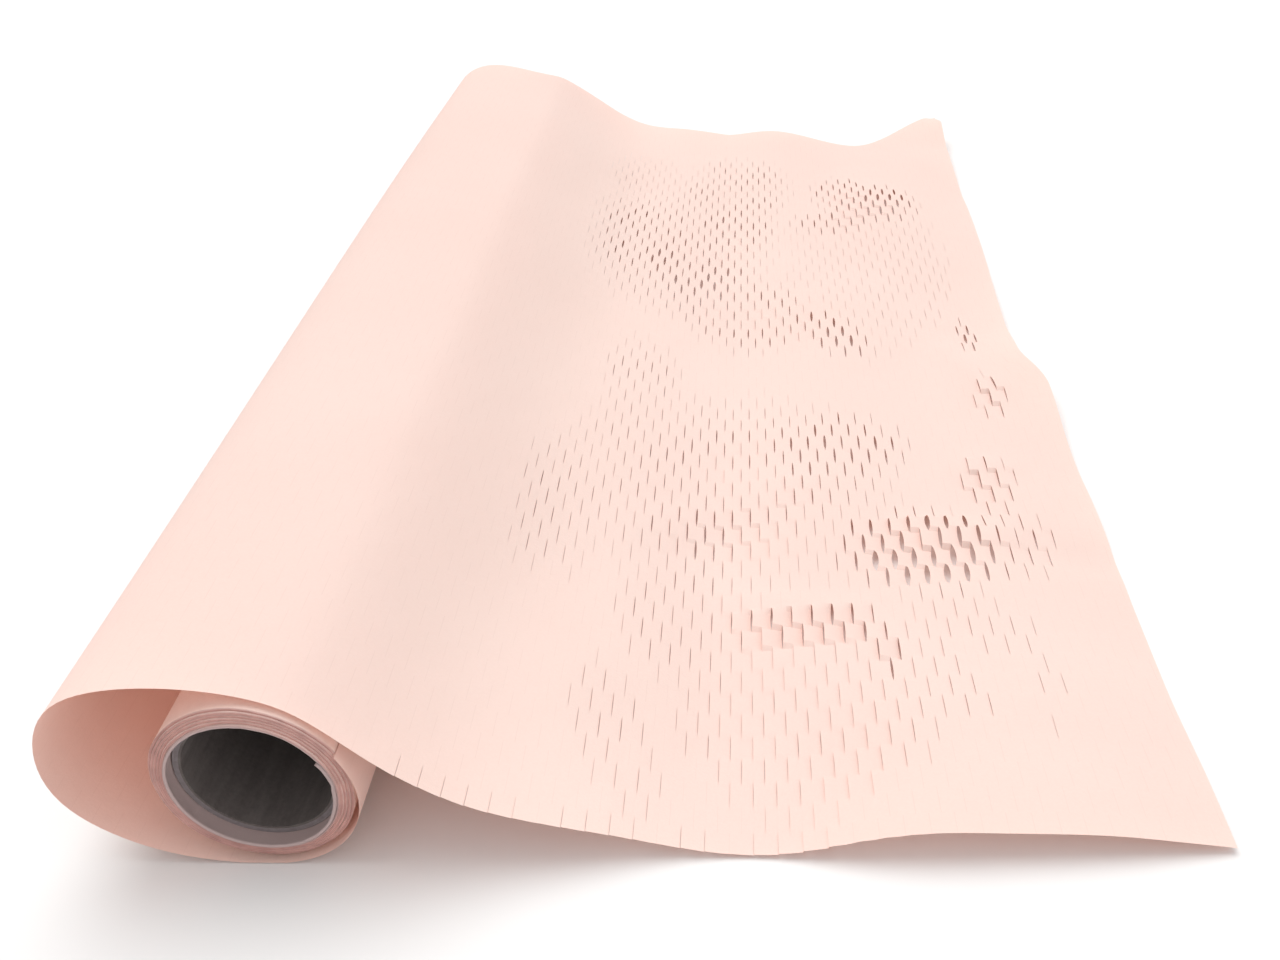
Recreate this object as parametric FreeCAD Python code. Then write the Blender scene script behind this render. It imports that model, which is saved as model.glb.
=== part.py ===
import FreeCAD, Part
import math
import os

from FreeCAD import Vector

# A roll of slit cushioning gift wrap, partly drawn off and lying on a table.
# Millimetres. +Y runs along the roll, +X the way the paper is drawn out, +Z up.
# The model is built from the coil's axis at x = 0, the near edge of the paper
# at y = 0 and the table at z = 0, and is centred on its own base at the end.

# ---- The paper web ----
web_width = 500.0        # cut width of the paper, along the roll
web_thickness = 1.0      # bulk thickness of the slit paper's solid

# ---- The core: three plies of spiral-wound board ----
core_bore_r = 18.0
liner_wall = 0.6
board_wall = 1.0
wrap_wall = 0.4
core_recess = 4.5        # how far each end of the core lies inside the paper

# ---- The coil of wound paper ----
wound_wall = 4.6         # radial build of the turns still on the core
coil_gap = 0.5           # running gap between the coil and the loose turn

# ---- The loose turn: leaves the coil on its right, runs under it, up round the
#      left, over the top and down to the table on the right ----
start_angle = 25.0       # where the turn parts from the coil, above horizontal
right_slack = 1.3        # how far it stands off the coil on the right
lower_slack = 2.2        # and at the lower right
floor_ease = 0.47        # the curve sags by this much where it lies on the table
left_slack = 21.6        # and on the left, where the turn hangs open
top_rise = 5.5           # its crest above the top of the coil
crest_shift = 20.0       # the crest lies this far left of the axis
shoulder_slack = 1.6     # stand-off just right of the coil's top
landing_run = 79.4       # from the coil's right side to the line where it lands

# ---- The laid sheet, from the landing line to the cut edge ----
sheet_run = 117.7        # length of paper lying on the table
seam_gap = 0.8           # clearance to the loose turn along the landing line
sheet_skew = 2.0         # degrees the sheet drifts along the roll as it is drawn

# Sizes that follow from the ones above
core_length = web_width - 2 * core_recess
core_r = core_bore_r + liner_wall + board_wall + wrap_wall
wound_r = core_r + wound_wall
coil_z = web_thickness + coil_gap + wound_r
landing_x = wound_r + landing_run
arc_fit = 0.1            # how near the loose turn's arcs keep to its outline
section_samples = 40     # points that carry the upper face of a sheet section


def tube(inner_r, outer_r, start_y, length):
    """A tube round the coil's axis."""
    base = Vector(0, start_y, coil_z)
    along = Vector(0, 1, 0)
    outer = Part.makeCylinder(outer_r, length, base, along)
    inner = Part.makeCylinder(inner_r, length, base, along)
    return outer.cut(inner)


def beside_coil(angle, stand_off):
    """A point at an angle round the coil, a distance off its surface."""
    turn = math.radians(angle)
    reach = wound_r + stand_off
    return (reach * math.cos(turn), coil_z + reach * math.sin(turn))


def loose_turn_line():
    """The face of the loose turn that looks at the coil, as (x, z) points."""
    crest_x = -crest_shift
    shoulder = beside_coil(38.0, shoulder_slack + 1.2)
    fall = landing_x - shoulder[0]
    return [
        beside_coil(start_angle, coil_gap + 0.2),
        beside_coil(-1.0, right_slack),
        beside_coil(-48.0, lower_slack),
        (0.16 * wound_r, web_thickness + floor_ease),
        (-0.48 * wound_r, web_thickness + floor_ease),
        (-wound_r - 0.25 * left_slack, web_thickness + 5.3),
        (-wound_r - left_slack, coil_z - 0.2 * wound_r),
        (-wound_r - left_slack, coil_z + 0.55 * wound_r),
        (crest_x - 0.66 * wound_r, coil_z + wound_r + top_rise - 3.7),
        (crest_x, coil_z + wound_r + top_rise),
        beside_coil(73.5, shoulder_slack),
        shoulder,
        (shoulder[0] + 0.34 * fall, 0.40 * shoulder[1]),
        (shoulder[0] + 0.69 * fall, 0.11 * shoulder[1]),
        (landing_x, 0.0),
    ]


def curve_through(points):
    """One smooth curve through a list of points."""
    curve = Part.BSplineCurve()
    curve.interpolate(Points=points)
    return curve


def skin_section(inner, across):
    """The closed outline of the paper's section: a curve and its copy one
    thickness further out. across is the normal of the section's plane."""
    first = inner.FirstParameter
    span = inner.LastParameter - first
    copies = []
    for index in range(section_samples + 1):
        at = first + span * index / section_samples
        tangent = inner.tangent(at)[0]
        copies.append(inner.value(at) + across.cross(tangent).normalize() * web_thickness)
    outer = Part.BSplineCurve()
    outer.interpolate(Points=copies)
    return Part.Wire([
        inner.toShape(),
        Part.makeLine(inner.EndPoint, outer.EndPoint),
        outer.toShape(),
        Part.makeLine(outer.StartPoint, inner.StartPoint),
    ])


def build_loose_turn():
    """The loose turn: its outline as tangent arcs, thickened and drawn along y."""
    points = [Vector(x, 0, z) for x, z in loose_turn_line()]
    arcs = [arc.toShape() for arc in curve_through(points).toBiArcs(arc_fit)]
    section = Part.Wire(arcs).makeOffset2D(web_thickness, fill=True, openResult=True)
    return section.extrude(Vector(0, web_width, 0))


# Height of the sheet's underside at fifths of its run, at stations along the roll:
# it ripples up at the near edge, half way along the cut edge and at the far corner.
sheet_heights = {
    0.00: (0.0, 2.2, 6.0, 8.8, 7.2, 2.0),
    0.14: (0.0, 0.4, 1.6, 3.4, 2.4, 0.6),
    0.43: (0.0, 1.0, 2.6, 1.6, 3.6, 8.0),
    0.55: (0.0, 2.4, 3.4, 2.0, 0.8, 1.0),
    0.80: (0.0, 2.0, 1.2, 3.0, 2.0, 1.6),
    1.00: (0.0, 3.2, 3.4, 0.4, 2.4, 8.6),
}


def build_laid_sheet():
    drift = math.tan(math.radians(sheet_skew))
    step = sheet_run / 5
    across = Vector(drift, -1, 0).normalize()
    sections = []
    for share, heights in sheet_heights.items():
        points = []
        for index, height in enumerate(heights):
            out = index * step
            place = Vector(landing_x + seam_gap + out, share * web_width + drift * out, height)
            points.append(place)
        inner = curve_through(points)
        sections.append(skin_section(inner, across))
    return Part.makeLoft(sections, True, True)


board_r = core_bore_r + liner_wall
wrap_r = board_r + board_wall
parts = {
    "core_liner": tube(core_bore_r, board_r, core_recess, core_length),
    "core_board": tube(board_r, wrap_r, core_recess, core_length),
    "core_wrap": tube(wrap_r, core_r, core_recess, core_length),
    "wound_paper": tube(core_r, wound_r, 0.0, web_width),
    "loose_turn": build_loose_turn(),
    "laid_sheet": build_laid_sheet(),
}

# Stand the whole object on z = 0 with the middle of its footprint at the origin
left_reach = wound_r + left_slack + web_thickness
right_reach = landing_x + seam_gap + sheet_run
drift = math.tan(math.radians(sheet_skew)) * sheet_run
to_base = Vector((left_reach - right_reach) / 2, -(web_width + drift) / 2, 0)
os.makedirs("parts", exist_ok=True)
for name, shape in parts.items():
    shape.translate(to_base)
    shape.exportStep("parts/" + name + ".step")
    print(name, "valid:", shape.isValid(), "volume:", round(shape.Volume, 1))
print("coil axis: x", round(to_base.x, 4), "z", round(coil_z, 4))
print("landing line: x", round(landing_x + to_base.x, 4))
print("near edge of the paper: y", round(to_base.y, 4))
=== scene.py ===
import math

import bpy
import numpy as np
from mathutils import Matrix, Vector


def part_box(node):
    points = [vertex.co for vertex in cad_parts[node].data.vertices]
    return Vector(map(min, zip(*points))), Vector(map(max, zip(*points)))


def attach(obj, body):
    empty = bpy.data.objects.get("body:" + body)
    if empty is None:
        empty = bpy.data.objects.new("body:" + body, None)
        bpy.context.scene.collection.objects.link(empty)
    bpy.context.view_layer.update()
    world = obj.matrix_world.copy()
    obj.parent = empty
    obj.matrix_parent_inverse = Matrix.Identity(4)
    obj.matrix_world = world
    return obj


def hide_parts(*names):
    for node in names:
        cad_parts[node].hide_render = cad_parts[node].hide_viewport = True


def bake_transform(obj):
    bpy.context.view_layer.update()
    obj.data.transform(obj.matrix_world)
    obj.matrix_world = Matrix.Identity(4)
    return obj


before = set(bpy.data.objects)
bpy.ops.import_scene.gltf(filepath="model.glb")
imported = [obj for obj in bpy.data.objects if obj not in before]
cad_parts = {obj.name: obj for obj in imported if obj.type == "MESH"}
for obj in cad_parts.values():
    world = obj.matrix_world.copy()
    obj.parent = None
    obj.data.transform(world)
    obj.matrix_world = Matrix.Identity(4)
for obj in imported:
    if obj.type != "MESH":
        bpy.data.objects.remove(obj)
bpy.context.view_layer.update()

# A roll of slit wrapping paper: one web of paper lies out on the floor, loops loosely
# round the coil and goes in under it, and the rest is wound on a board core.
# Sizes are metres in the part's frame. The CAD nodes give the places.

MM = 0.001
COIL_LOW, COIL_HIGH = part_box("wound_paper")
SHEET_LOW, SHEET_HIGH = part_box("laid_sheet")
CORE_LOW, CORE_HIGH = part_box("core_wrap")
AXIS_X = (COIL_LOW.x + COIL_HIGH.x) / 2
AXIS_Z = (COIL_LOW.z + COIL_HIGH.z) / 2
COIL_R = (COIL_HIGH.x - COIL_LOW.x) / 2
CORE_R = (CORE_HIGH.x - CORE_LOW.x) / 2
NEAR_Y = COIL_LOW.y
WEB_WIDTH = COIL_HIGH.y - COIL_LOW.y
SHEET_RUN = SHEET_HIGH.x - SHEET_LOW.x
LANDING = SHEET_LOW.x - AXIS_X

# The slits run along the roll's length, in rows set like bricks. SLIT_PITCH is the spacing
# of the slits in a row, along the web, and ROW_PITCH that of the rows, across it.
SLIT_PITCH = 5.75 * MM
ROW_PITCH = 8.2 * MM
SLIT_OVERLAP = 0.80 * MM
FIRST_ROW = -0.25 * ROW_PITCH
COLUMN_STEP = SLIT_PITCH / 4
LEAST_OPENING = 0.02 * MM

# The mesh is fine this far in from the free end, and coarser round the loop.
FINE_RUN = 205 * MM

# How high the paper lies where it touches the floor, and the least any part of it may have.
PAPER_REST = 0.45 * MM
LEAST_HEIGHT = 0.25 * MM

# The laid sheet runs off a little askew.
SKEW = math.tan(math.radians(2.0))


# ---- curves and soft shapes -------------------------------------------------


def spline_bends(knots, values):
    """The second derivatives at the knots of the natural cubic spline through values."""
    count = len(knots)
    gaps = np.diff(knots)
    system = np.zeros((count, count))
    right = np.zeros(values.shape)
    system[0, 0] = 1
    system[-1, -1] = 1
    for i in range(1, count - 1):
        system[i, i - 1] = gaps[i - 1]
        system[i, i] = 2 * (gaps[i - 1] + gaps[i])
        system[i, i + 1] = gaps[i]
        before = (values[i] - values[i - 1]) / gaps[i - 1]
        after = (values[i + 1] - values[i]) / gaps[i]
        right[i] = 6 * (after - before)
    return np.linalg.solve(system, right)


def spline(knots, values, where):
    """The natural cubic spline through values at knots, read at where."""
    knots = np.asarray(knots, float)
    values = np.asarray(values, float)
    bends = spline_bends(knots, values)
    span = np.clip(np.searchsorted(knots, where) - 1, 0, len(knots) - 2)
    gap = knots[span + 1] - knots[span]
    shape = (-1,) + (1,) * (values.ndim - 1)
    a = ((knots[span + 1] - where) / gap).reshape(shape)
    b = ((where - knots[span]) / gap).reshape(shape)
    gap = gap.reshape(shape)
    curve = a * values[span] + b * values[span + 1]
    bend_a = (a**3 - a) * bends[span]
    bend_b = (b**3 - b) * bends[span + 1]
    return curve + (bend_a + bend_b) * gap**2 / 6


def smooth_step(low, high, x):
    """0 below low, 1 above high, and an even curve between them."""
    t = np.clip((x - low) / (high - low), 0, 1)
    return t * t * (3 - 2 * t)


def soft_patch(run, y, centre, reach, turn=0.0):
    """1 in the middle of a turned ellipse, and 0 outside it. Lengths are in mm."""
    dx = run / MM - centre[0]
    dy = y / MM - centre[1]
    c = math.cos(math.radians(turn))
    s = math.sin(math.radians(turn))
    across = (dx * c + dy * s) / reach[0]
    along = (-dx * s + dy * c) / reach[1]
    return 1 - smooth_step(0.45, 1.0, np.hypot(across, along))


def soft_noise(x, y, cell, seed):
    """Smooth noise from -1 to 1 with bumps about one cell apart."""
    grid = np.random.default_rng(seed).uniform(-1, 1, (64, 64))
    gx = np.asarray(x) / cell
    gy = np.asarray(y) / cell
    ix = np.floor(gx).astype(int)
    iy = np.floor(gy).astype(int)
    fx = smooth_step(0, 1, gx - ix)
    fy = smooth_step(0, 1, gy - iy)
    low = grid[ix % 64, iy % 64] * (1 - fx) + grid[(ix + 1) % 64, iy % 64] * fx
    high = grid[ix % 64, (iy + 1) % 64] * (1 - fx) + grid[(ix + 1) % 64, (iy + 1) % 64] * fx
    return low * (1 - fy) + high * fy


# ---- the web of paper -------------------------------------------------------


def beside_coil(angle, stand_off):
    """A point beside the coil's round side, from the coil's axis across and the floor up."""
    reach = COIL_R + stand_off * MM
    a = math.radians(angle)
    return (reach * math.cos(a), AXIS_Z + reach * math.sin(a))


def loop_points(loop, shoulder, descent):
    """The web's line: from under the sheet round the coil, over it, down and out along the floor."""
    under = [
        beside_coil(30, 0.12),
        beside_coil(24, 0.13),
        beside_coil(15, 0.22),
        beside_coil(-1, 0.6),
        beside_coil(-25, 1.0),
        beside_coil(-52, 1.1),
        (3.9 * MM, 0.75 * MM),
        (-11.8 * MM, 0.85 * MM),
    ]
    laid = [(LANDING + share * SHEET_RUN, PAPER_REST) for share in (0, 0.25, 0.6, 1)]
    return under + loop + shoulder + descent + laid


def near_line():
    """The web's line at the near edge."""
    loop = [
        (-30.3 * MM, 5.8 * MM),
        (-47.5 * MM, 21.0 * MM),
        (-48.0 * MM, 39.8 * MM),
        (-38.3 * MM, 53.3 * MM),
        (-21.0 * MM, 57.2 * MM),
    ]
    shoulder = [(0.0, 54.0 * MM), (14.8 * MM, 47.9 * MM), (31.3 * MM, 33.6 * MM)]
    descent = [(50.5 * MM, 19.8 * MM), (79.0 * MM, 8.8 * MM)]
    return loop_points(loop, shoulder, descent)


def far_line():
    """The web's line at the far edge, where the loop stands a little higher and further left."""
    loop = [
        (-31.5 * MM, 5.2 * MM),
        (-51.4 * MM, 21.0 * MM),
        (-53.0 * MM, 40.8 * MM),
        (-42.8 * MM, 54.6 * MM),
        (-25.5 * MM, 58.3 * MM),
    ]
    shoulder = [(-5.0 * MM, 53.6 * MM), beside_coil(76, 0.6), beside_coil(57, 0.5)]
    descent = [(51.0 * MM, 19.0 * MM), (77.0 * MM, 8.0 * MM)]
    return loop_points(loop, shoulder, descent)


def traced(points):
    """A smooth line through points, closely sampled, and the run along it to each sample."""
    points = np.array(points)
    steps = np.linalg.norm(np.diff(points, axis=0), axis=1)
    knots = np.concatenate(([0], np.cumsum(np.sqrt(steps))))
    line = spline(knots, points, np.linspace(0, knots[-1], 3000))
    steps = np.linalg.norm(np.diff(line, axis=0), axis=1)
    return line, np.concatenate(([0], np.cumsum(steps)))


def line_at(points, share):
    """Points at the given shares of the length of a smooth line through points."""
    line, run = traced(points)
    place = np.asarray(share) * run[-1]
    return np.interp(place, run, line[:, 0]), np.interp(place, run, line[:, 1])


NEAR_RUN = traced(near_line())[1]
WEB_LENGTH = NEAR_RUN[-1]
LOOP_LENGTH = WEB_LENGTH - SHEET_RUN

# How high the laid sheet lies at six places along it, at each share of the web's width, in mm.
SHEET_HEIGHTS = {
    0.00: (1.8, 2.8, 8.2, 8.4, 5.8, 1.4),
    0.07: (0.8, 1.8, 5.2, 6.2, 4.6, 0.6),
    0.16: (1.0, 2.2, 2.2, 3.4, 2.2, 0.0),
    0.30: (2.6, 4.2, 2.4, 1.2, 1.8, 1.4),
    0.43: (3.0, 2.6, 3.4, 1.6, 3.4, 8.4),
    0.52: (3.2, 2.4, 4.6, 2.6, 1.6, 3.0),
    0.66: (4.6, 5.2, 3.0, 3.8, 3.4, 0.4),
    0.80: (6.2, 6.6, 3.8, 5.6, 3.0, 0.6),
    0.92: (7.2, 7.6, 3.4, 2.2, 4.6, 4.2),
    1.00: (9.4, 10.6, 3.8, 0.0, 7.0, 12.8),
}


def sheet_height(run, y):
    """How high the paper lies over the floor past the landing line."""
    stations = np.array(sorted(SHEET_HEIGHTS))
    heights = np.array([SHEET_HEIGHTS[k] for k in stations])
    places = np.linspace(0, SHEET_RUN, heights.shape[1])
    along = spline(places, heights.T, np.clip(run, 0, SHEET_RUN).ravel())
    share = np.clip(y / WEB_WIDTH, 0, 1).ravel()
    knot = np.clip(np.searchsorted(stations, share) - 1, 0, len(stations) - 2)
    t = smooth_step(stations[knot], stations[knot + 1], share)
    row = np.arange(len(share))
    height = along[row, knot] * (1 - t) + along[row, knot + 1] * t
    return height.reshape(np.shape(run)) * MM


def crumple(run, y):
    """Small folds and creases where the paper has been pulled open, in metres."""
    height = 0.5 * soft_noise(run, y, 0.031, 3) + 0.3 * soft_noise(run, y, 0.017, 5)
    for start, end, width, rise in CREASES:
        height = height + rise * crease(run, y, start, end, width)
    return height * MM


def crease(run, y, start, end, width):
    """A ridge 1 high along a straight line from start to end, in mm."""
    start = np.array(start, float)
    line = np.array(end, float) - start
    length = np.hypot(*line)
    dx = run / MM - start[0]
    dy = y / MM - start[1]
    along = (dx * line[0] + dy * line[1]) / length
    off = (dx * line[1] - dy * line[0]) / length
    ends = smooth_step(-width, width, along) * smooth_step(-width, width, length - along)
    return ends * np.exp(-((off / width) ** 2))


# start, end, half-width and rise of each crease; run is from the landing line, y from the near edge.
CREASES = (
    ((8, 84), (52, 70), 8.0, 1.0),
    ((56, 124), (90, 117), 8.0, 2.6),
    ((78, 160), (97, 154), 8.0, 2.0),
    ((4, 96), (44, 86), 6.0, 0.9),
    ((-30, 120), (30, 150), 10.0, 0.8),
    ((-20, 190), (60, 170), 12.0, 0.8),
    ((85, 245), (100, 200), 7.0, 1.4),
    ((30, 370), (95, 395), 12.0, 1.2),
    ((88, 113), (118, 104), 8.0, -1.4),
)


def rim_pull(y):
    """How far the free end is drawn in at each width: most where the sheet is dented."""
    dent = 1.3 + 4.6 * (1 - smooth_step(0.24, 0.36, y))
    pull = 0.8 * smooth_step(0.02, 0.05, y) + 0.6 * smooth_step(0.12, 0.18, y)
    return (pull + dent * smooth_step(0.200, 0.230, y)) * MM


def web_profile(s, y):
    """How far across from the coil's axis and up the web is, between its near and far lines."""
    share = np.clip(s / WEB_LENGTH, 0, 1)
    near_x, near_z = line_at(near_line(), share.ravel())
    far_x, far_z = line_at(far_line(), share.ravel())
    mix = smooth_step(-0.15, 0.85, y / WEB_WIDTH)
    x = near_x.reshape(s.shape) * (1 - mix) + far_x.reshape(s.shape) * mix
    z = near_z.reshape(s.shape) * (1 - mix) + far_z.reshape(s.shape) * mix
    return x, z


def edge_shifts(run, y):
    """Along the roll: how far the far edge is drawn in, and how far the slope's edges swing."""
    pull = 8.5 * MM * np.exp(-(((run - 0.078) / 0.022) ** 2)) * smooth_step(0.9, 1, y / WEB_WIDTH)
    set_back = smooth_step(-160 * MM, -115 * MM, run) * (1 - smooth_step(-110 * MM, -75 * MM, run))
    set_back = set_back * (2.6 - 4.6 * y / WEB_WIDTH) * MM
    near = 1 - smooth_step(0, 0.14, y / WEB_WIDTH)
    set_back = set_back + 2.4 * MM * near * np.exp(-(((run + 0.006) / 0.034) ** 2))
    return pull, set_back


def base_surface(s, y):
    """The web without its slits, at arc length s and width y. Returns points (..., 3)."""
    run = s - LOOP_LENGTH
    x, z = web_profile(s, y)
    lift = smooth_step(-70 * MM, 0, run)
    z = z + lift * (sheet_height(run, y) + crumple(run, y))
    descent = smooth_step(-105 * MM, -60 * MM, run) * (1 - smooth_step(-45 * MM, 0, run))
    z = z + descent * 0.9 * MM * soft_noise(run, y, 0.045, 11)
    corner = smooth_step(-0.010, 0.0, run - SHEET_RUN) * smooth_step(-0.012, 0.0, y - WEB_WIDTH)
    z = np.maximum(z - 2 * MM * corner, PAPER_REST)
    x = x - 2.5 * MM * corner
    y = y - 2.0 * MM * corner
    x = x - rim_pull(y) * smooth_step(-0.032, -0.002, run - SHEET_RUN)
    skewed = NEAR_Y + y + SKEW * np.maximum(run, 0)
    pull, set_back = edge_shifts(run, y)
    return np.stack([AXIS_X + x, skewed - pull + set_back, z], axis=-1)


# Where slits stand open: middle and reach in mm, turn in degrees, half opening in mm,
# how far the lips stand up in mm, and how far tiles step at the slits. The last three are
# read by their place in the row.
OPENING, LIP, STEP = 3, 4, 5
OPEN_PATCHES = (
    ((-20, 342), (54, 84), 0, 0.22, 0.16, 0.3),
    ((-15, 328), (34, 46), 15, 0.52, 0.26, 0.3),
    ((2, 362), (26, 40), -10, 0.38, 0.22, 0.3),
    ((-45, 352), (18, 46), 0, 0.36, 0.18, 0.2),
    ((4, 415), (34, 56), 0, 0.26, 0.14, 0.3),
    ((-40, 420), (28, 46), 0, 0.07, 0.10, 0.2),
    ((8, 280), (34, 40), 20, 0.30, 0.20, 0.3),
    ((70, 392), (24, 32), 30, 0.60, 0.45, 0.4),
    ((55, 410), (17, 32), 0, 0.34, 0.28, 0.4),
    ((50, 370), (26, 16), 0, 0.34, 0.28, 0.4),
    ((42, 258), (13, 32), 30, 0.52, 0.30, 0.4),
    ((66, 280), (9, 16), 0, 0.08, 0.15, 0.4),
    ((60, 318), (60, 110), 0, 0.035, 0.10, 0.2),
    ((98, 250), (7, 20), 0, 0.42, 0.40, 0.6),
    ((97, 200), (8, 18), 0, 0.18, 0.30, 0.6),
    ((-30, 214), (20, 46), 0, 0.10, 0.10, 0.2),
    ((-52, 125), (20, 50), 0, 0.08, 0.10, 0.2),
    ((2, 152), (68, 74), 0, 0.13, 0.14, 0.25),
    ((40, 170), (30, 28), 10, 0.44, 0.26, 0.4),
    ((4, 172), (34, 18), 0, 0.22, 0.16, 0.3),
    ((2, 124), (36, 20), 0, 0.22, 0.30, 0.4),
    ((30, 146), (16, 14), 0, 0.16, 0.42, 0.5),
    ((-8, 84), (30, 34), 0, 0.09, 0.14, 0.3),
    ((62, 113), (32, 24), -10, 0.74, 0.60, 0.5),
    ((87, 146), (12, 20), 0, 0.10, 0.40, 0.6),
    ((92, 114), (14, 18), 0, 0.16, 0.32, 0.3),
    ((26, 80), (30, 11), -4, 0.44, 1.0, 0.4),
    ((48, 65), (4.5, 9), 0, 0.50, 1.0, 0.4),
    ((24, 44), (44, 46), 0, 0.08, 0.20, 0.3),
    ((72, 60), (34, 44), 0, 0.035, 0.14, 0.3),
    ((-25, 30), (15, 42), 20, 0.06, 0.12, 0.2),
    ((-45, 3), (50, 9), 0, 0.045, 0.08, 0.2),
    ((15, 3), (55, 8), 0, 0.035, 0.08, 0.2),
)


def strongest_patch(run, y, which):
    """The strongest patch's OPENING, LIP or STEP at each point."""
    found = np.zeros(np.shape(run))
    for patch in OPEN_PATCHES:
        weight = soft_patch(run, y, patch[0], patch[1], patch[2])
        found = np.maximum(found, weight * patch[which])
    return found


def opening(s, y):
    """Half how wide the slit at s, y stands open, in metres."""
    run = s - LOOP_LENGTH
    patch = strongest_patch(run, y, OPENING)
    uneven = 0.85 + 0.5 * soft_noise(run, y, 0.007, 21) + 0.4 * soft_noise(run, y, 0.02, 22)
    inside = (s < WEB_LENGTH - 0.6 * SLIT_PITCH) & (s > 0)
    return np.where(inside, np.maximum(patch * uneven, 0), 0) * MM


def slit_offsets(column, band, t, y_band, side):
    """How far a vertex moves along the web and off it, and the middle of the tile it is on.
    A tile is the paper between two slits of a row. side is -1 for the tile before the vertex
    and 1 for the tile after it."""
    shift = 2 * (band % 2)
    place = (column - shift) / 4
    tile = np.floor(place) if side > 0 else np.ceil(place) - 1
    u = place - tile
    left = WEB_LENGTH + (shift + 4 * tile + 1) * COLUMN_STEP
    middle = left + SLIT_PITCH / 2
    open_left = opening(left, y_band)
    open_right = opening(left + SLIT_PITCH, y_band)
    lens = np.sin(np.pi * t) ** 0.8
    along = lens * (open_left * (1 - u) ** 2 - open_right * u**2)
    lip = strongest_patch(middle - LOOP_LENGTH, y_band, LIP) * MM
    plateau = np.minimum(1.6 * np.sqrt(np.sin(np.pi * t)), 1)
    rise = plateau * lip * (1 - 2 * u)
    return along, rise, middle


def step_offset(s, y, middle, y_band):
    """How far a tile stands off the smooth sheet where the tiles lie flat, stepped at the slits."""
    run = s - LOOP_LENGTH
    tile_run = middle - LOOP_LENGTH
    tile_height = sheet_height(tile_run, y_band) + crumple(tile_run, y_band)
    here = sheet_height(run, y) + crumple(run, y)
    weight = strongest_patch(tile_run, y_band, STEP) * smooth_step(-60 * MM, 0, tile_run)
    return weight * (tile_height - here)


def web_rows():
    """For each mesh row: its width, its slit row, how far along the slits it is from 0 to 1,
    and the width at its slit row's middle."""
    inner = (SLIT_OVERLAP, 0.27 * ROW_PITCH, 0.5 * ROW_PITCH, 0.73 * ROW_PITCH)
    inner = inner + (ROW_PITCH - SLIT_OVERLAP,)
    last = int((WEB_WIDTH - FIRST_ROW) / ROW_PITCH)
    rows = [(FIRST_ROW + k * ROW_PITCH + y, k) for k in range(last + 1) for y in inner]
    rows = [(y, k) for y, k in rows if 0.3 * MM < y < WEB_WIDTH - 0.3 * MM]
    rows = [(0.0, 0)] + rows + [(WEB_WIDTH, last)]
    y = np.array([r[0] for r in rows])
    band = np.array([r[1] for r in rows])
    start = FIRST_ROW + band * ROW_PITCH
    t = (y - start + SLIT_OVERLAP) / (ROW_PITCH + 2 * SLIT_OVERLAP)
    return y, band, t, start + ROW_PITCH / 2


def web_columns():
    """The column numbers, 0 at the last slit line before the free end and negative inwards.
    Every quarter of a slit pitch where slits open, every half pitch round the loop."""
    fine = int(FINE_RUN / COLUMN_STEP)
    fine = fine - fine % 2
    total = int(WEB_LENGTH / COLUMN_STEP)
    coarse = np.arange(-total + total % 2, -fine, 2)
    columns = np.concatenate((coarse, np.arange(-fine, 0)))
    s = WEB_LENGTH + (columns + 1) * COLUMN_STEP
    return columns[s > 0.5 * MM], s[s > 0.5 * MM]


def surface_directions(points):
    """The unit directions along the web and off its upper side at each grid point."""
    along = np.gradient(points, axis=0)
    across = np.gradient(points, axis=1)
    along = along / np.linalg.norm(along, axis=-1, keepdims=True)
    off = np.cross(along, across)
    off = off / np.linalg.norm(off, axis=-1, keepdims=True)
    return along, off


def moved_points(points, directions, grid, side):
    """The grid points moved as the tiles before (-1) or after (1) them lie."""
    columns, s, y, band, t, y_band = grid
    along, rise, middle = slit_offsets(columns, band, t, y_band, side)
    rise = rise + step_offset(s, y, middle, y_band)
    moved = points + directions[0] * along[..., None] + directions[1] * rise[..., None]
    moved[..., 2] = np.maximum(moved[..., 2], LEAST_HEIGHT)
    return moved


def build_web():
    """The whole web as one mesh, cut through along each slit that stands open."""
    columns, s_line = web_columns()
    y_line, band_line, t_line, middle_line = web_rows()
    shape = (len(columns), len(y_line))
    column = np.broadcast_to(columns[:, None], shape)
    s = np.broadcast_to(s_line[:, None], shape)
    y = np.broadcast_to(y_line, shape)
    band = np.broadcast_to(band_line, shape)
    t = np.broadcast_to(t_line, shape)
    y_band = np.broadcast_to(middle_line, shape)
    points = base_surface(s, y)
    directions = surface_directions(points)
    grid = (column, s, y, band, t, y_band)
    before = moved_points(points, directions, grid, -1)
    after = moved_points(points, directions, grid, 1)
    on_slit = (column - 2 * (band % 2)) % 4 == 0
    cut = on_slit & (opening(s, y_band) > LEAST_OPENING)
    cut[0] = False
    cut[-1] = False
    whole = np.where(cut[..., None], after, (before + after) / 2)
    after_id = np.arange(s.size).reshape(shape)
    before_id = after_id.copy()
    before_id[cut] = s.size + np.arange(cut.sum())
    vertices = np.concatenate((whole.reshape(-1, 3), before[cut]))
    faces = np.stack(
        [after_id[:-1, :-1], before_id[1:, :-1], before_id[1:, 1:], after_id[:-1, 1:]],
        axis=-1,
    ).reshape(-1, 4)
    web = mesh_object("paper_web", vertices, faces)
    web.data.set_sharp_from_angle(angle=math.radians(16))
    place = np.stack([column / 2, (y - FIRST_ROW) / ROW_PITCH], axis=-1).reshape(-1, 2)
    place = np.concatenate((place, place.reshape(shape + (2,))[cut]))
    add_uv(web, "slit_grid", place)
    return web


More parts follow.
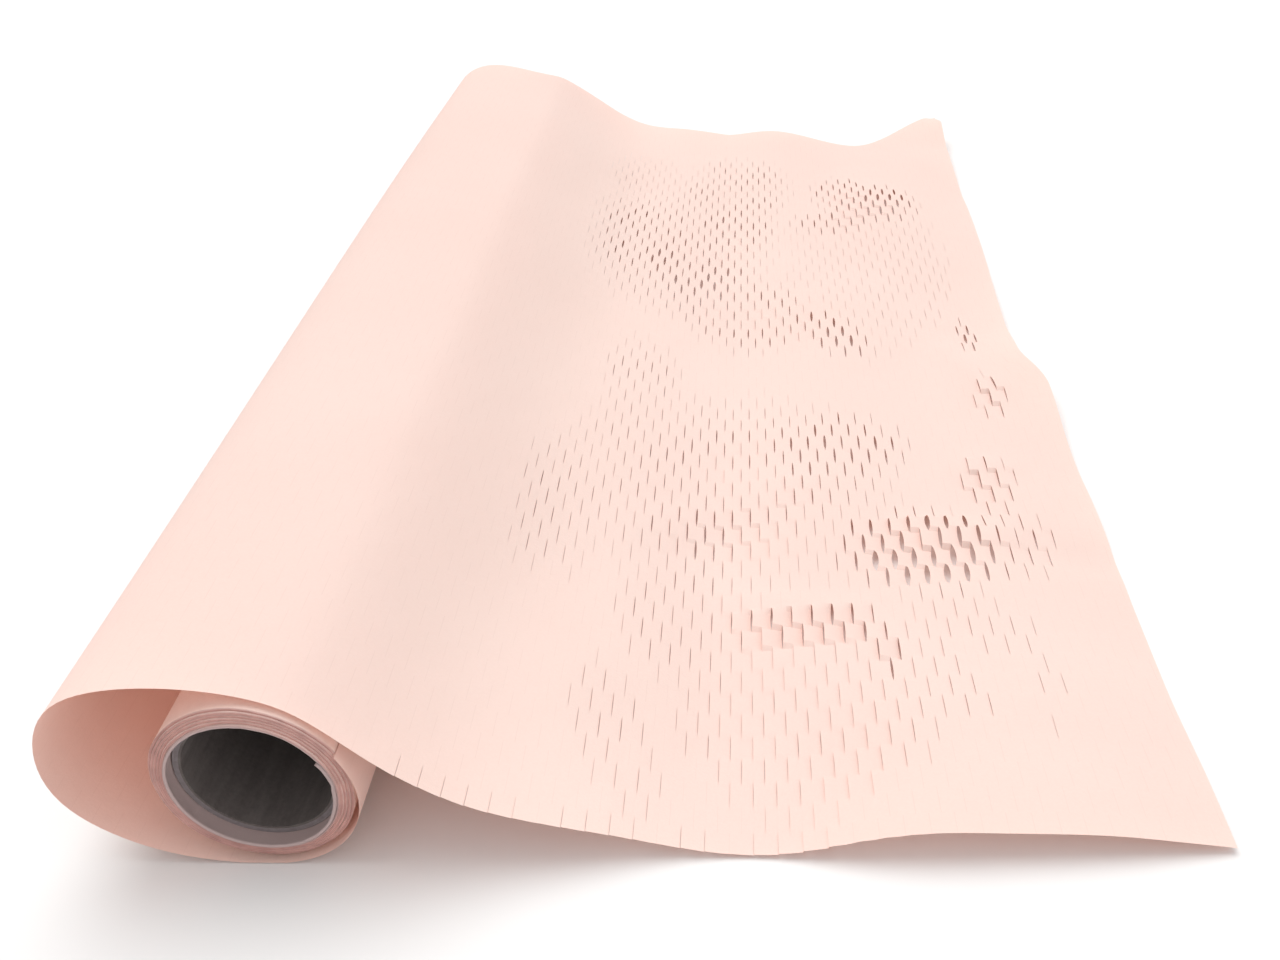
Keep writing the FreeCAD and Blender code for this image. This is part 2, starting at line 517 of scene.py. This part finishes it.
def mesh_object(name, vertices, faces):
    """A smooth-shaded mesh object in the scene."""
    mesh = bpy.data.meshes.new(name)
    mesh.from_pydata(np.asarray(vertices).tolist(), [], np.asarray(faces).tolist())
    mesh.polygons.foreach_set("use_smooth", [True] * len(mesh.polygons))
    mesh.update()
    piece = bpy.data.objects.new(name, mesh)
    bpy.context.scene.collection.objects.link(piece)
    return piece


def add_uv(piece, name, place):
    """A UV map that gives each vertex its place."""
    mesh = piece.data
    corner = np.zeros(len(mesh.loops), int)
    mesh.loops.foreach_get("vertex_index", corner)
    layer = mesh.uv_layers.new(name=name)
    layer.data.foreach_set("uv", np.asarray(place)[corner].ravel())


# ---- the wound turns --------------------------------------------------------

TURNS = 6
TURN_STEPS = 96
PLY = 0.68 * MM
OUTER_END = math.radians(25)


def turn_edge(angle, turn, seed):
    """How far the paper's edge is set back at this place of the winding: the inner turns stand out."""
    wander = 0.30 * soft_noise(angle * 1.3, turn * 2.7, 1.0, seed)
    ragged = 0.05 * soft_noise(angle * 14, turn * 5.1, 1.0, seed + 1)
    cone = 1.4 * turn / TURNS
    return (cone + wander + ragged) * MM


def build_wound_turns():
    """The paper still on the core: one ribbon wound in a spiral, ragged at both ends. Its outer
    end lies where the web comes off the coil, and its mouths turn in towards the core."""
    count = TURNS * TURN_STEPS + 1
    turn = np.linspace(0, TURNS, count)
    angle = OUTER_END - (turn - TURNS) * 2 * math.pi
    inner = CORE_R + PLY / 2 + 0.05 * MM
    outer = COIL_R - PLY / 2
    radius = inner + (outer - inner) * turn / TURNS
    wave = 0.07 * MM * soft_noise(angle * 3, turn, 1.0, 31)
    radius = np.minimum(radius + wave, outer)
    rim = turn_edge(angle % (2 * math.pi), turn, 41)
    far_rim = turn_edge(angle % (2 * math.pi), turn, 51)
    depths = np.array([0.0, 0.5, 1.5, 5, 20, 80]) * MM
    near_rows = NEAR_Y + rim[:, None] + depths
    far_rows = NEAR_Y + WEB_WIDTH - far_rim[:, None] - depths[::-1]
    rows = np.concatenate((near_rows, far_rows), axis=1)
    mouth = np.exp(-np.minimum(rows - NEAR_Y, NEAR_Y + WEB_WIDTH - rows) / (2.0 * MM))
    mouth = np.clip(mouth, 0, 1)
    inwards = 0.9 * (1 - turn / TURNS) + 0.08 * soft_noise(angle * 9, turn, 1.0, 61)
    reach = radius[:, None] - mouth * inwards[:, None] * MM
    x = AXIS_X + reach * np.cos(angle)[:, None]
    z = AXIS_Z + reach * np.sin(angle)[:, None]
    points = np.stack([x, rows, z], axis=-1)
    ids = np.arange(rows.size).reshape(rows.shape)
    faces = np.stack([ids[:-1, :-1], ids[:-1, 1:], ids[1:, 1:], ids[1:, :-1]], axis=-1)
    turns = mesh_object("wound_turns", points.reshape(-1, 3), faces.reshape(-1, 4))
    ply = turns.modifiers.new("ply", "SOLIDIFY")
    ply.thickness = PLY
    ply.offset = 0
    return turns


# ---- materials --------------------------------------------------------------


def new_material(name):
    """A new material, its nodes, its links and its shader."""
    material = bpy.data.materials.new(name)
    material.use_nodes = True
    nodes = material.node_tree.nodes
    return material, nodes, material.node_tree.links, nodes["Principled BSDF"]


def add_noise(nodes, links, coordinate, scale, detail, roughness=0.5):
    """Noise from 0 to 1."""
    noise = nodes.new("ShaderNodeTexNoise")
    noise.inputs["Scale"].default_value = scale
    noise.inputs["Detail"].default_value = detail
    noise.inputs["Roughness"].default_value = roughness
    links.new(coordinate, noise.inputs["Vector"])
    return noise.outputs["Fac"]


def add_maths(nodes, links, operation, first, second=None, third=None):
    """A Math node; first, second and third are sockets or numbers."""
    node = nodes.new("ShaderNodeMath")
    node.operation = operation
    for value, socket in zip((first, second, third), node.inputs):
        if value is None:
            continue
        if isinstance(value, (int, float)):
            socket.default_value = value
        else:
            links.new(value, socket)
    return node.outputs[0]


def add_ramp(nodes, links, factor, stops):
    """A colour ramp with (place, colour) stops."""
    ramp = nodes.new("ShaderNodeValToRGB")
    elements = ramp.color_ramp.elements
    while len(elements) < len(stops):
        elements.new(0.5)
    for element, (place, colour) in zip(elements, stops):
        element.position = place
        element.color = (*colour, 1)
    links.new(factor, ramp.inputs["Fac"])
    return ramp.outputs["Color"]


def mix_colours(nodes, links, share, first, second):
    """first where share is 0 and second where it is 1; each is a socket or a colour."""
    mix = nodes.new("ShaderNodeMix")
    mix.data_type = "RGBA"
    links.new(share, mix.inputs["Factor"])
    for value, socket in ((first, mix.inputs["A"]), (second, mix.inputs["B"])):
        if isinstance(value, tuple):
            socket.default_value = (*value, 1)
        else:
            links.new(value, socket)
    return mix.outputs["Result"]


def add_bump(nodes, links, height, distance, strength=1.0, below=None):
    """Bumps from height, in metres, on top of the normal below where one is given."""
    bump = nodes.new("ShaderNodeBump")
    bump.inputs["Strength"].default_value = strength
    bump.inputs["Distance"].default_value = distance
    links.new(height, bump.inputs["Height"])
    if below is not None:
        links.new(below, bump.inputs["Normal"])
    return bump.outputs["Normal"]


def slit_lines(nodes, links):
    """1 on the lines where the web is cut but closed, where the paper gets its painted shade, 0 on the
    paper between them.
    """
    place = nodes.new("ShaderNodeUVMap")
    place.uv_map = "slit_grid"
    parts = nodes.new("ShaderNodeSeparateXYZ")
    links.new(place.outputs["UV"], parts.inputs["Vector"])
    row = add_maths(nodes, links, "FLOOR", parts.outputs["Y"])
    odd = add_maths(nodes, links, "MODULO", row, 2.0)
    moved = add_maths(nodes, links, "SUBTRACT", parts.outputs["X"], odd)
    half = add_maths(nodes, links, "MULTIPLY", moved, 0.5)
    middle = add_maths(nodes, links, "ADD", half, 0.5)
    part = add_maths(nodes, links, "FRACT", middle)
    off = add_maths(nodes, links, "SUBTRACT", part, 0.5)
    distance = add_maths(nodes, links, "ABSOLUTE", off)
    return add_maths(nodes, links, "LESS_THAN", distance, 0.016)


def paper_material(name, light, dark):
    """Matte pink paper with fibres and thin lines of painted shade along its closed slits, thin enough
    to let some light through.
    """
    material, nodes, links, principled = new_material(name)
    place = nodes.new("ShaderNodeTexCoord").outputs["Object"]
    cloud = add_noise(nodes, links, place, 14, 3)
    fibre = add_noise(nodes, links, place, 1300, 6, 0.65)
    fine = add_maths(nodes, links, "MULTIPLY", fibre, 0.55)
    grain = add_maths(nodes, links, "MULTIPLY_ADD", cloud, 0.45, fine)
    colour = add_ramp(nodes, links, grain, ((0.36, dark), (0.62, light)))
    # Painted shade: faint dark lines along the slits that stay closed, for the shade in the closed cuts.
    line = slit_lines(nodes, links)
    patchy = add_noise(nodes, links, place, 55, 2)
    patchy = add_maths(nodes, links, "MULTIPLY", patchy, 0.16)
    share = add_maths(nodes, links, "MULTIPLY", line, patchy)
    colour = mix_colours(nodes, links, share, colour, (0.45, 0.27, 0.22))
    links.new(colour, principled.inputs["Base Color"])
    rough = add_maths(nodes, links, "MULTIPLY_ADD", fibre, 0.12, 0.76)
    links.new(rough, principled.inputs["Roughness"])
    principled.inputs["Specular IOR Level"].default_value = 0.25
    principled.inputs["Sheen Weight"].default_value = 0.05
    cockle = add_noise(nodes, links, place, 90, 2)
    normal = add_bump(nodes, links, cockle, 0.0009, 0.35)
    normal = add_bump(nodes, links, fibre, 0.00006, 0.8, normal)
    links.new(normal, principled.inputs["Normal"])
    through = nodes.new("ShaderNodeBsdfTranslucent")
    through.inputs["Color"].default_value = (0.84, 0.36, 0.26, 1)
    mix = nodes.new("ShaderNodeMixShader")
    mix.inputs["Fac"].default_value = 0.18
    links.new(principled.outputs["BSDF"], mix.inputs[1])
    links.new(through.outputs["BSDF"], mix.inputs[2])
    output = next(n for n in nodes if n.type == "OUTPUT_MATERIAL")
    links.new(mix.outputs["Shader"], output.inputs["Surface"])
    return material


def depth_in_coil(nodes, links, place):
    """0 at the core and 1 at the coil's outside, by the distance from the coil's axis."""
    across = nodes.new("ShaderNodeVectorMath")
    across.operation = "SUBTRACT"
    across.inputs[1].default_value = (AXIS_X, 0, AXIS_Z)
    links.new(place, across.inputs[0])
    flat = nodes.new("ShaderNodeVectorMath")
    flat.operation = "MULTIPLY"
    flat.inputs[1].default_value = (1, 0, 1)
    links.new(across.outputs[0], flat.inputs[0])
    length = nodes.new("ShaderNodeVectorMath")
    length.operation = "LENGTH"
    links.new(flat.outputs[0], length.inputs[0])
    depth = nodes.new("ShaderNodeMapRange")
    depth.inputs["From Min"].default_value = CORE_R
    depth.inputs["From Max"].default_value = COIL_R
    links.new(length.outputs["Value"], depth.inputs["Value"])
    return depth.outputs["Result"]


def wound_material():
    """The wound paper: blush where it faces outwards; on its cut ends a darker, duskier colour, painted
    shade for the light lost between the turns; and a greyer brown close to the core, painted shade for
    the shadowed recess by the core."""
    material, nodes, links, principled = new_material("wound_paper")
    place = nodes.new("ShaderNodeTexCoord").outputs["Object"]
    depth = depth_in_coil(nodes, links, place)
    fibre = add_noise(nodes, links, place, 1300, 6, 0.65)
    layered = add_noise(nodes, links, place, 260, 3)
    blush = add_ramp(nodes, links, fibre, ((0.3, (0.94, 0.74, 0.67)), (0.7, (0.97, 0.79, 0.72))))
    # Painted shade: the cut ends, found by how they face, get a darker, duskier colour for the light
    # lost between the ragged turns.
    edge = add_ramp(nodes, links, layered, ((0.3, (0.46, 0.23, 0.205)), (0.7, (0.62, 0.325, 0.285))))
    facing = nodes.new("ShaderNodeSeparateXYZ")
    links.new(nodes.new("ShaderNodeTexCoord").outputs["Normal"], facing.inputs["Vector"])
    end = add_maths(nodes, links, "ABSOLUTE", facing.outputs["Y"])
    colour = mix_colours(nodes, links, end, blush, edge)
    # Painted shade: the turns close to the core get a greyer brown, for the shadowed recess in front of
    # the core.
    inside = add_ramp(nodes, links, depth, ((0.06, (1, 1, 1)), (0.16, (0, 0, 0))))
    colour = mix_colours(nodes, links, inside, colour, (0.54, 0.41, 0.395))
    links.new(colour, principled.inputs["Base Color"])
    principled.inputs["Roughness"].default_value = 0.84
    principled.inputs["Specular IOR Level"].default_value = 0.2
    normal = add_bump(nodes, links, layered, 0.0002, 0.5)
    normal = add_bump(nodes, links, fibre, 0.00006, 0.8, normal)
    links.new(normal, principled.inputs["Normal"])
    return material


def board_material(name, light, dark, ring_scale):
    """Grey-brown wound board: plies, fibres and a little dust."""
    material, nodes, links, principled = new_material(name)
    place = nodes.new("ShaderNodeTexCoord").outputs["Object"]
    stretch = nodes.new("ShaderNodeMapping")
    stretch.inputs["Scale"].default_value = (1.0, 0.12, 1.0)
    links.new(place, stretch.inputs["Vector"])
    fibre = add_noise(nodes, links, stretch.outputs["Vector"], ring_scale, 5, 0.6)
    speck = add_noise(nodes, links, place, 900, 4, 0.7)
    dust = add_maths(nodes, links, "MULTIPLY", speck, 0.4)
    grain = add_maths(nodes, links, "MULTIPLY_ADD", fibre, 0.6, dust)
    colour = add_ramp(nodes, links, grain, ((0.34, dark), (0.66, light)))
    links.new(colour, principled.inputs["Base Color"])
    rough = add_maths(nodes, links, "MULTIPLY_ADD", speck, 0.2, 0.68)
    links.new(rough, principled.inputs["Roughness"])
    principled.inputs["Specular IOR Level"].default_value = 0.25
    normal = add_bump(nodes, links, grain, 0.00012, 0.8)
    links.new(normal, principled.inputs["Normal"])
    return material


def floor_material():
    """A plain pale floor."""
    material, nodes, links, principled = new_material("pale_floor")
    place = nodes.new("ShaderNodeTexCoord").outputs["Object"]
    cloud = add_noise(nodes, links, place, 3, 2)
    colour = add_ramp(nodes, links, cloud, ((0.3, (0.85, 0.85, 0.85)), (0.7, (0.87, 0.87, 0.87))))
    links.new(colour, principled.inputs["Base Color"])
    principled.inputs["Roughness"].default_value = 0.9
    principled.inputs["Specular IOR Level"].default_value = 0.1
    return material


# ---- the scene --------------------------------------------------------------


def build_floor():
    """The floor, wide enough to meet the horizon in every view."""
    side = 30.0
    vertices = [(-side, -side, 0), (side, -side, 0), (side, side, 0), (-side, side, 0)]
    floor = mesh_object("floor", vertices, [(0, 1, 2, 3)])
    floor.data.materials.append(floor_material())
    return floor


def build_key():
    """A soft key light from above, a little behind the roll and to its left."""
    key = bpy.data.lights.new("key", "SUN")
    key.energy = 1.84
    key.angle = math.radians(55)
    key.color = (1.0, 0.985, 0.97)
    lamp = bpy.data.objects.new("key", key)
    lamp.rotation_euler = Vector((-0.22, 0.32, 0.92)).to_track_quat("Z", "Y").to_euler()
    bpy.context.scene.collection.objects.link(lamp)


def build_studio():
    """The world's light: dim low on the left to bright overhead and on the right, with a
    bright band along the horizon that leaves the background white from the sides."""
    world = bpy.data.worlds.new("studio")
    world.use_nodes = True
    nodes = world.node_tree.nodes
    links = world.node_tree.links
    parts = nodes.new("ShaderNodeSeparateXYZ")
    links.new(nodes.new("ShaderNodeTexCoord").outputs["Generated"], parts.inputs["Vector"])
    to_right = add_maths(nodes, links, "MULTIPLY", parts.outputs["X"], 0.30)
    height = add_maths(nodes, links, "ADD", parts.outputs["Z"], to_right)
    dim = (0.12, 0.12, 0.12)
    ceiling = add_ramp(nodes, links, height, ((0.09, dim), (0.72, (1.0, 1.0, 1.0))))
    edge = add_ramp(nodes, links, parts.outputs["Z"], ((0.15, (1.2, 1.2, 1.2)), (0.20, (0, 0, 0))))
    brighter = nodes.new("ShaderNodeVectorMath")
    brighter.operation = "MAXIMUM"
    links.new(ceiling, brighter.inputs[0])
    links.new(edge, brighter.inputs[1])
    links.new(brighter.outputs["Vector"], nodes["Background"].inputs["Color"])
    nodes["Background"].inputs["Strength"].default_value = 0.84
    bpy.context.scene.world = world


def build_camera():
    """The photograph's view: from in front of the near end, to the right, looking down."""
    camera = bpy.data.cameras.new("camera")
    camera.sensor_width = 36
    camera.lens = 33.75
    camera.clip_start = 0.01
    body = bpy.data.objects.new("camera", camera)
    right = Vector((0.99312, 0.07619, -0.08896))
    up = Vector((0.03136, 0.55880, 0.82871))
    back = right.cross(up)
    facing = Matrix((right, up, back)).transposed().to_4x4()
    place = Vector((AXIS_X + 0.1228, NEAR_Y - 0.1818, 0.2304))
    body.matrix_world = Matrix.Translation(place) @ facing
    bpy.context.scene.collection.objects.link(body)
    bpy.context.scene.camera = body


def dress(piece, material):
    """Gives a piece its material."""
    piece.data.materials.clear()
    piece.data.materials.append(material)


def dress_core():
    """The core's three CAD nodes each get a board finish."""
    finishes = {
        "core_liner": board_material("core_liner_board", (0.20, 0.175, 0.165), (0.12, 0.10, 0.095), 240),
        "core_board": board_material("core_board_ply", (0.31, 0.275, 0.28), (0.22, 0.19, 0.195), 420),
        "core_wrap": board_material("core_wrap_paper", (0.35, 0.31, 0.315), (0.26, 0.225, 0.23), 300),
    }
    for node, material in finishes.items():
        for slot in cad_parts[node].material_slots:
            slot.material = material


def main():
    bpy.context.scene.view_settings.view_transform = "Standard"
    floor = build_floor()
    build_key()
    build_studio()
    build_camera()
    dress_core()

    web = build_web()
    pink = paper_material("blush_paper", (0.970, 0.785, 0.715), (0.950, 0.752, 0.680))
    dress(web, pink)
    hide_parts("loose_turn", "laid_sheet")
    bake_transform(web)

    turns = build_wound_turns()
    dress(turns, wound_material())
    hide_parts("wound_paper")
    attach(turns, "coil")


main()
